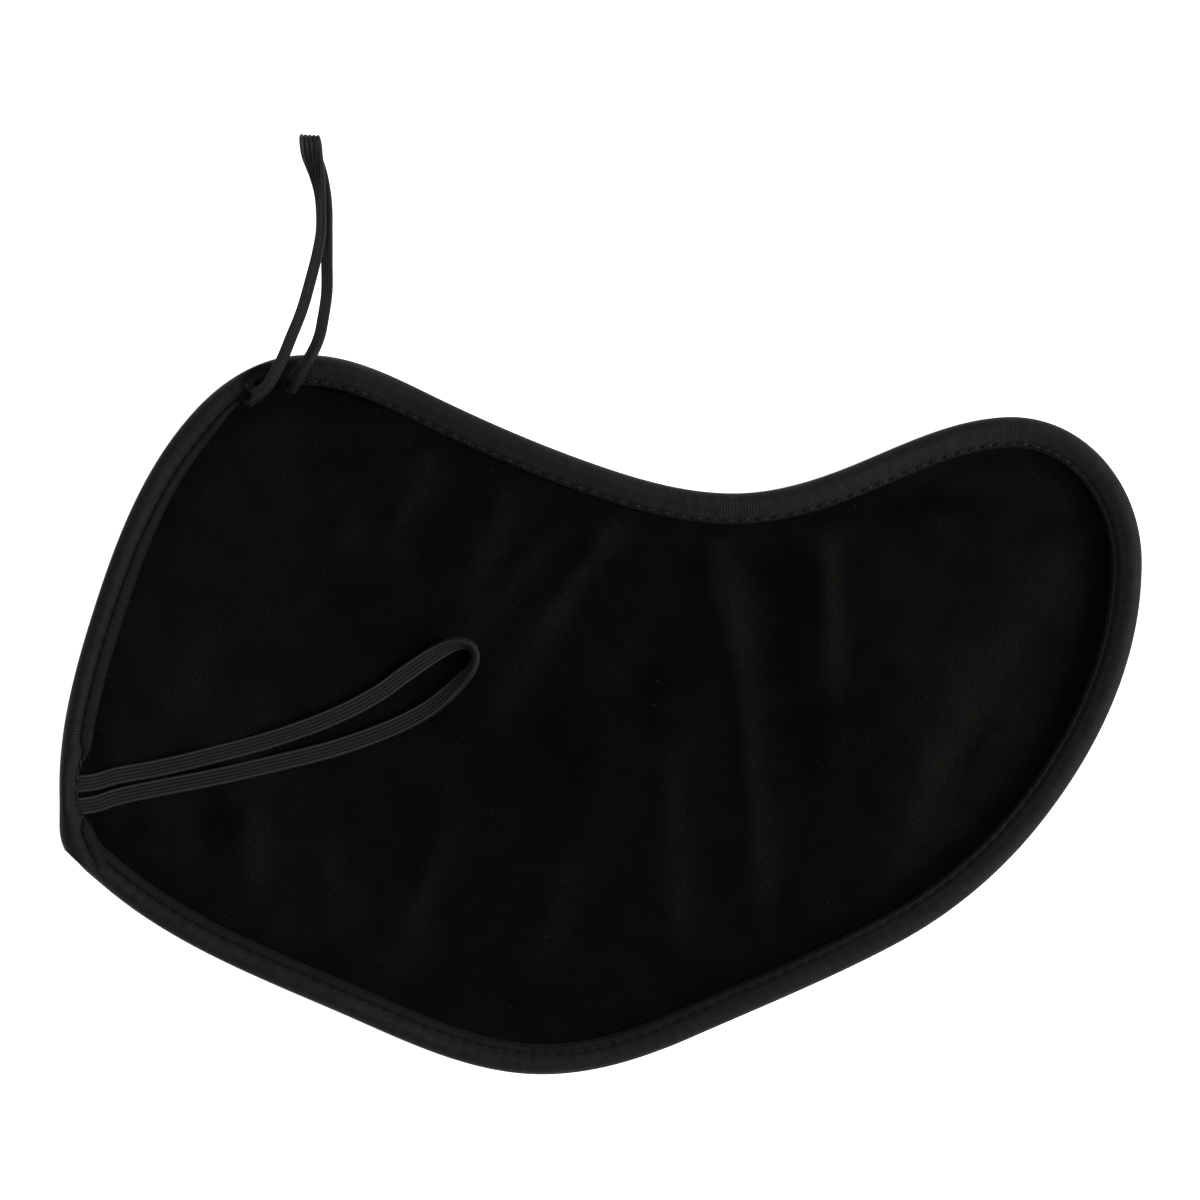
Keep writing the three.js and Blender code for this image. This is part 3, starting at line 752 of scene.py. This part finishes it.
def relax(piece, depth):
    """Lets the lining slacken: the cloth grows by a fiftieth between its held edges, without
    gravity, and buckles into soft creases. No point may move more than RELAX_CAP, nor sink into the
    felt, and the move fades out towards the binding."""
    scene = bpy.context.scene
    held = piece.vertex_groups.new(name="held")
    held.add(np.flatnonzero(depth.ravel() < RELAX_FADE[0]).tolist(), 1.0, "REPLACE")
    modifier = piece.modifiers.new("Cloth", "CLOTH")
    settings = modifier.settings
    settings.quality = 6
    settings.mass = 0.0006
    settings.tension_stiffness = settings.compression_stiffness = 12
    settings.shear_stiffness = 4
    settings.bending_stiffness = 0.02
    settings.air_damping = 1.0
    settings.shrink_min = -0.02
    settings.vertex_group_mass = held.name
    settings.effector_weights.gravity = 0
    modifier.collision_settings.use_collision = False
    modifier.point_cache.frame_start, modifier.point_cache.frame_end = 1, RELAX_FRAMES
    rest = np.empty(len(piece.data.vertices) * 3, np.float32)
    piece.data.vertices.foreach_get("co", rest)
    rest = rest.reshape(-1, 3)
    for number in range(1, RELAX_FRAMES + 1):
        scene.frame_set(number)
    result = piece.evaluated_get(bpy.context.evaluated_depsgraph_get()).to_mesh()
    flat = np.empty(rest.size, np.float32)
    result.vertices.foreach_get("co", flat)
    shift = flat.reshape(-1, 3) - rest
    piece.to_mesh_clear()
    piece.modifiers.remove(modifier)
    piece.vertex_groups.remove(held)
    scene.frame_set(1)
    size = np.linalg.norm(shift, axis=1, keepdims=True)
    shift *= np.minimum(1, RELAX_CAP * MM / np.maximum(size, 1e-9))
    shift *= smoothstep(depth.ravel(), *RELAX_FADE)[:, None]
    shift[:, 2] = np.maximum(shift[:, 2], -RELAX_SINK * MM)
    piece.data.vertices.foreach_set("co", (rest + shift).ravel())
    piece.data.update()


class PATCH_OT_lining(bpy.types.Operator):
    """Makes the brushed lining, slackened by a cloth simulation"""
    bl_idname = "patch.lining"
    bl_label = "Lining"

    def execute(self, context):
        material = material_of(brushed_polyester_knit, context.scene.patch_colours)
        piece, depth = cloth("lining_brushed_knit", CLOTH_INSET, LINING[1], 1, material)
        relax(piece, depth)
        finish_edges(piece, 1, LINING[1] - LINING[0])
        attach(piece, "panel")
        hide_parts("lining_cloth")
        return {"FINISHED"}


class PATCH_OT_face_cloth(bpy.types.Operator):
    """Makes the smooth face cloth that the patch lies on"""
    bl_idname = "patch.face_cloth"
    bl_label = "Face cloth"

    def execute(self, context):
        material = material_of(smooth_polyester_knit, context.scene.patch_colours)
        piece, _ = cloth("face_plain_knit", CLOTH_INSET, FACE[1], FACE_SHARE, material)
        finish_edges(piece, 1, FACE[1] - FACE[0])
        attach(piece, "panel")
        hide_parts("face_cloth")
        return {"FINISHED"}


class PATCH_OT_interlining(bpy.types.Operator):
    """Makes the felt between the two cloths"""
    bl_idname = "patch.interlining"
    bl_label = "Interlining"

    def execute(self, context):
        material = material_of(needled_felt, context.scene.patch_colours)
        piece, _ = cloth("interlining_felt", FELT_INSET, FELT[1], 0, material)
        finish_edges(piece, 0, FELT[1] - FELT[0])
        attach(piece, "panel")
        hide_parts("interlining")
        return {"FINISHED"}


# ---------------------------------------------------------------- edge binding and stitching

def leaf_rise(xy):
    """How far the upper leaf is pushed up over the elastic's caught ends."""
    nearest = np.min([np.linalg.norm(xy - middle, axis=-1) for middle in LEAF_RISES], axis=0)
    return LEAF_RISE * (1 - smoothstep(nearest, *LEAF_RISE_REACH))


def tape_section(width):
    """The folded tape's outer side, from its upper inner edge round the fold to its lower inner edge:
    depth, height, whether it is the upper leaf (1) or the lower leaf (0), and the outward direction."""
    leaf = np.linspace(width, FOLD_RADIUS, LEAF_POINTS)
    turn = np.radians(np.linspace(90, 270, FOLD_POINTS + 2))[1:-1]
    flat = np.zeros(LEAF_POINTS)
    middle = (LEAF[1] + LOWER_LEAF[1]) / 2
    half = (LEAF[1] - LOWER_LEAF[1]) / 2
    depth = np.concatenate([leaf, FOLD_RADIUS + FOLD_RADIUS * np.cos(turn), leaf[::-1]])
    height = np.concatenate([flat + LEAF[1], middle + half * np.sin(turn), flat + LOWER_LEAF[1]])
    out_depth = np.concatenate([flat, np.cos(turn), flat])
    out_height = np.concatenate([flat + 1, np.sin(turn), flat - 1])
    upper = np.clip((height - middle) / half, 0, 1)
    return depth, height, upper, out_depth, out_height


def seam_inset(run):
    """From the outer edge to the row of stitching, drawn between the values at its stations."""
    stations, insets = zip(*SEAM_INSETS)
    return np.interp(run, [station_run(station) for station in stations], insets)


def drawn_in(run):
    """The share of its width that the tape keeps: less where a loop's ends draw it narrow."""
    return 1 - sum(share * np.exp(-((run - station_run(station)) / reach) ** 4)
                   for station, reach, share in ROOT_SQUEEZES)


def pinch_depth(xy):
    """The dent beside the upper loop: its depth times exp(-(distance / reach) to the power 4)."""
    return PINCH_SIZE[1] * np.exp(-(np.linalg.norm(xy - PINCH, axis=-1) / PINCH_SIZE[0]) ** 4)


def tape_swell(depth, run, pitch):
    """How far the tape stands out: full over the turned edges, drawn in along the seam and most of
    all at each stitch, with a narrow lip beyond it, and slightly uneven along its run."""
    stitch = 0.5 + 0.5 * np.cos(2 * math.pi * run / pitch)
    groove = (0.34 + 0.16 * stitch) * np.exp(-((depth - seam_inset(run)) / 0.34) ** 2)
    puff = 0.22 * np.exp(-((depth - 1.9) / 1.1) ** 2) * (1 - 0.25 * stitch)
    uneven = 0.07 * np.sin(run / 5.9 + 1.3) + 0.05 * np.sin(run / 2.3) * np.sin(run / 11 + 0.4)
    return puff - groove + uneven * smoothstep(depth, 0.0, 1.5)


def binding_points(sizes):
    """The tape's points, row by row: the folded section carried round the edge, from the end that
    lies under at the joint to the end that laps over it, which leaves the edge in a straight line
    and is cut on a slant. The inner side is the outer side moved back by the tape's thickness."""
    width, pitch = sizes.binding_width / MM, sizes.stitch_pitch / MM
    depth, height, upper, out_depth, out_height = tape_section(width)
    leave = EDGE_LENGTH - LAP_RUN
    count = round((leave + UNDER_RUN) / (pitch / STITCH_ROWS))
    run = np.linspace(-UNDER_RUN, leave, count)
    lap_rows = np.linspace(0, 1, LAP_ROWS + 1)[1:]

    places, inward = edge_at(run)
    last, last_inward = places[-1], inward[-1]
    ahead = np.array([last_inward[1], -last_inward[0]])
    slant = (0.5 + LAP_SLOPE * depth * smoothstep(upper, 0.3, 0.9))[None, :] * lap_rows[:, None]
    runs = np.vstack([np.repeat(run[:, None], len(depth), 1), leave + slant])
    lift = LAP_LIFT * np.concatenate([smoothstep(run, leave - LAP_RAMP[0], leave - LAP_RAMP[1]),
                                      np.ones(LAP_ROWS)])[:, None]

    squeeze = drawn_in(runs)
    squeeze = np.hstack([squeeze, squeeze[:, ::-1]])

    def spots(depths, runs_on):
        on_edge = places[:, None] + depths[:count, :, None] * inward[:, None]
        lapped = last + runs_on[..., None] * ahead + depths[count:, :, None] * last_inward
        return np.vstack([on_edge, lapped])

    swell = tape_swell(depth[None, :], runs, pitch) + lift
    inner_edge = 0.42 * smoothstep(depth, width - 0.45, width)[None, :]    # where the leaves turn down
    flat = spots(np.repeat(depth[None, :], len(runs), 0), slant)
    pinch = pinch_depth(flat)
    rises = leaf_rise(flat) * upper - pinch * upper * smoothstep(depth, 0.3, 1.6)

    outer_height = height + out_height * (swell - inner_edge) + rises
    inner_height = height + out_height * (swell - TAPE_THICKNESS) + rises
    outer_depth = depth + out_depth * swell
    inner_depth = depth + out_depth * (swell - TAPE_THICKNESS)
    heights = np.hstack([outer_height, inner_height[:, ::-1]])
    depths = np.hstack([outer_depth, inner_depth[:, ::-1]]) * squeeze
    level = spots(depths, np.hstack([slant, slant[:, ::-1]]))
    z = rise(level, np.clip(depths, 0, None)) + heights
    around = np.concatenate([[0], np.cumsum(np.hypot(np.diff(depth), np.diff(height)))])
    weave = np.zeros((*z.shape, 3))
    weave[..., 0] = np.hstack([runs, runs[:, ::-1]]) * MM
    weave[..., 1] = np.concatenate([around, around[::-1]]) * MM
    inset = seam_inset(runs)
    # painted shade: the upper leaf is darker inward of the seam, on its inner lip, and darkest in the
    # dent beside the upper loop
    worn = 1 - 0.7 * smoothstep(depth, inset - 0.3, inset + 0.1) * upper
    worn *= 1 - 0.9 * pinch / PINCH_SIZE[1]
    worn = np.repeat(np.hstack([worn, worn[:, ::-1]])[..., None], 3, axis=-1)
    return np.dstack([level, z]), weave, worn


def seam_points(sizes, side):
    """One row of stitches: each is an arch of thread along the seam, turned slightly across it, that
    dips into the tape at both ends. Its height falls with the fourth power of the way out to an end,
    and its thickness with the sixth. side is 1 for the lining side and -1 for the face."""
    pitch, radius = sizes.stitch_pitch / MM, sizes.thread_thickness / MM / 2
    first, last = SEAM_ENDS[0], EDGE_LENGTH - LAP_RUN - SEAM_ENDS[1]
    run = first + (np.arange(round((last - first) / pitch)) + 0.5) * pitch
    places, inward = edge_at(run)
    ahead = np.stack([inward[:, 1], -inward[:, 0]], 1)
    inset = seam_inset(run)
    depth = inset * drawn_in(run)
    centre = places + depth[:, None] * inward
    slant = np.radians(7 + 3 * np.sin(run * 1.7))[:, None]
    cos, sin = np.cos(slant), np.sin(slant)
    ahead, across = ahead * cos + inward * sin, inward * cos - ahead * sin
    share = np.linspace(-1, 1, STITCH_RINGS)
    reach = share * pitch * STITCH_SHARE / 2
    arch = 0.07 - 0.34 * share ** 4
    thick = radius * (1 - 0.45 * share ** 6)
    swell = tape_swell(inset, run, pitch) - SEAM_SINK * (1 - smoothstep(inset, *SINK_INSETS))
    leaf = LEAF[1] + leaf_rise(centre) if side > 0 else LOWER_LEAF[1]
    height = rise(centre, depth) + leaf + side * swell
    turn = np.arange(THREAD_CORNERS) * 2 * math.pi / THREAD_CORNERS
    flat = (centre[:, None, None] + reach[None, :, None, None] * ahead[:, None, None]
            + (thick[:, None] * np.cos(turn))[None, :, :, None] * across[:, None, None])
    z = height[:, None, None] + side * (arch[:, None] + thick[:, None] * np.sin(turn))[None]
    points = np.concatenate([flat, z[..., None]], -1)
    weave = np.zeros(points.shape)
    weave[..., 0] = (run[:, None, None] + reach[None, :, None]) * MM
    weave[..., 1] = (turn * radius) * MM
    return points, weave


class PATCH_OT_binding(bpy.types.Operator):
    """Makes the folded tape round the edge, with its lapped ends"""
    bl_idname = "patch.binding"
    bl_label = "Edge binding"

    def execute(self, context):
        scene = context.scene
        material = material_of(woven_polyester_tape, scene.patch_colours)
        points, weave, worn = binding_points(scene.patch_sizes)
        piece = new_piece("edge_binding_tape", points, tube_faces(*points.shape[:2]), material,
                          weave=weave, worn=worn)
        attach(piece, "panel")
        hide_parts("edge_binding")
        return {"FINISHED"}


class PATCH_OT_stitching(bpy.types.Operator):
    """Makes the row of stitches on each side of the panel"""
    bl_idname = "patch.stitching"
    bl_label = "Stitching"

    def execute(self, context):
        scene = context.scene
        material = material_of(spun_polyester_thread, scene.patch_colours)
        for name, side in (("needle_thread", 1), ("bobbin_thread", -1)):
            points, weave = seam_points(scene.patch_sizes, side)
            faces = several_tubes(*points.shape[:3])
            if side < 0:
                faces = [face[::-1] for face in faces]
            piece = new_piece(f"{name}_stitches", points, faces, material, weave=weave)
            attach(piece, "panel")
            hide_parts(name)
        return {"FINISHED"}


# ---------------------------------------------------------------- stage

FLOOR_REACH = 3000.0              # from the middle to the floor's edges, in millimetres
FLOOR_GAP = 0.05                  # from the floor up to the patch, in millimetres
CAMERA_SHIFT = (0.0004, 0.003)    # up the view from the middle of the box, and away from the patch
KEY_PLACE = (0.64, -0.02, 0.46)   # of the main light
KEY_WIDTH = 0.45

class PATCH_OT_stage(bpy.types.Operator):
    """Sets up the camera, the pale floor and the soft lights"""
    bl_idname = "patch.stage"
    bl_label = "Stage"

    def execute(self, context):
        scene = context.scene
        stage = scene.patch_stage
        lens = bpy.data.cameras.new("camera")
        lens.sensor_width = 36
        lens.lens = lens.sensor_width * stage.distance / stage.field
        lens.clip_start, lens.clip_end = 0.01, 20
        camera = bpy.data.objects.new("camera", lens)
        low, high = (np.array(corner) for corner in CAD_BOX)
        camera.location = (0, (low[1] + high[1]) / 2 + CAMERA_SHIFT[0], stage.distance + CAMERA_SHIFT[1])
        scene.collection.objects.link(camera)
        scene.camera = camera

        corners = np.array([(-1, -1, 0), (1, -1, 0), (1, 1, 0), (-1, 1, 0)]) * FLOOR_REACH
        floor = new_piece("floor", corners - (0, 0, FLOOR_GAP), [(0, 1, 2, 3)],
                          material_of(pale_card, stage))

        world = bpy.data.worlds.new("studio")
        world.use_nodes = True
        world.node_tree.nodes["Background"].inputs["Color"].default_value = (1, 1, 1, 1)
        world.node_tree.nodes["Background"].inputs["Strength"].default_value = stage.fill
        scene.world = world
        scene.view_settings.view_transform = "Standard"

        key = bpy.data.lights.new("key", "AREA")
        key.shape = "DISK"
        key.size = KEY_WIDTH
        key.energy = stage.key
        lamp = bpy.data.objects.new("key", key)
        lamp.location = KEY_PLACE
        aim = -np.array(lamp.location)
        lamp.rotation_euler = (math.atan2(math.hypot(aim[0], aim[1]), -aim[2]), 0,
                               math.atan2(aim[1], aim[0]) - math.pi / 2)
        scene.collection.objects.link(lamp)
        return {"FINISHED"}


# ---------------------------------------------------------------- panel and registration

PIECES = (PATCH_OT_stage, PATCH_OT_loops, PATCH_OT_lining, PATCH_OT_face_cloth, PATCH_OT_interlining,
          PATCH_OT_binding, PATCH_OT_stitching)
GROUPS = (("patch_sizes", PatchSizes), ("patch_colours", PatchColours), ("patch_stage", PatchStage))


class PATCH_PT_panel(bpy.types.Panel):
    """Lists the settings and the pieces"""
    bl_idname = "PATCH_PT_panel"
    bl_label = "Eye patch"
    bl_space_type = "VIEW_3D"
    bl_region_type = "UI"
    bl_category = "Eye patch"

    def draw(self, context):
        for name, group in GROUPS:
            box = self.layout.box()
            for key in group.__annotations__:
                box.prop(getattr(context.scene, name), key)
        for piece in PIECES:
            self.layout.operator(piece.bl_idname)


def register():
    for _, group in GROUPS:
        bpy.utils.register_class(group)
    for piece in PIECES:
        bpy.utils.register_class(piece)
    bpy.utils.register_class(PATCH_PT_panel)
    for name, group in GROUPS:
        setattr(bpy.types.Scene, name, PointerProperty(type=group))


def unregister():
    for name, _ in GROUPS:
        delattr(bpy.types.Scene, name)
    bpy.utils.unregister_class(PATCH_PT_panel)
    for piece in reversed(PIECES):
        bpy.utils.unregister_class(piece)
    for _, group in reversed(GROUPS):
        bpy.utils.unregister_class(group)


def main():
    """Makes every piece in order."""
    register()
    for piece in PIECES:
        category, name = piece.bl_idname.split(".")
        getattr(getattr(bpy.ops, category), name)()


if __name__ == "__main__":
    main()
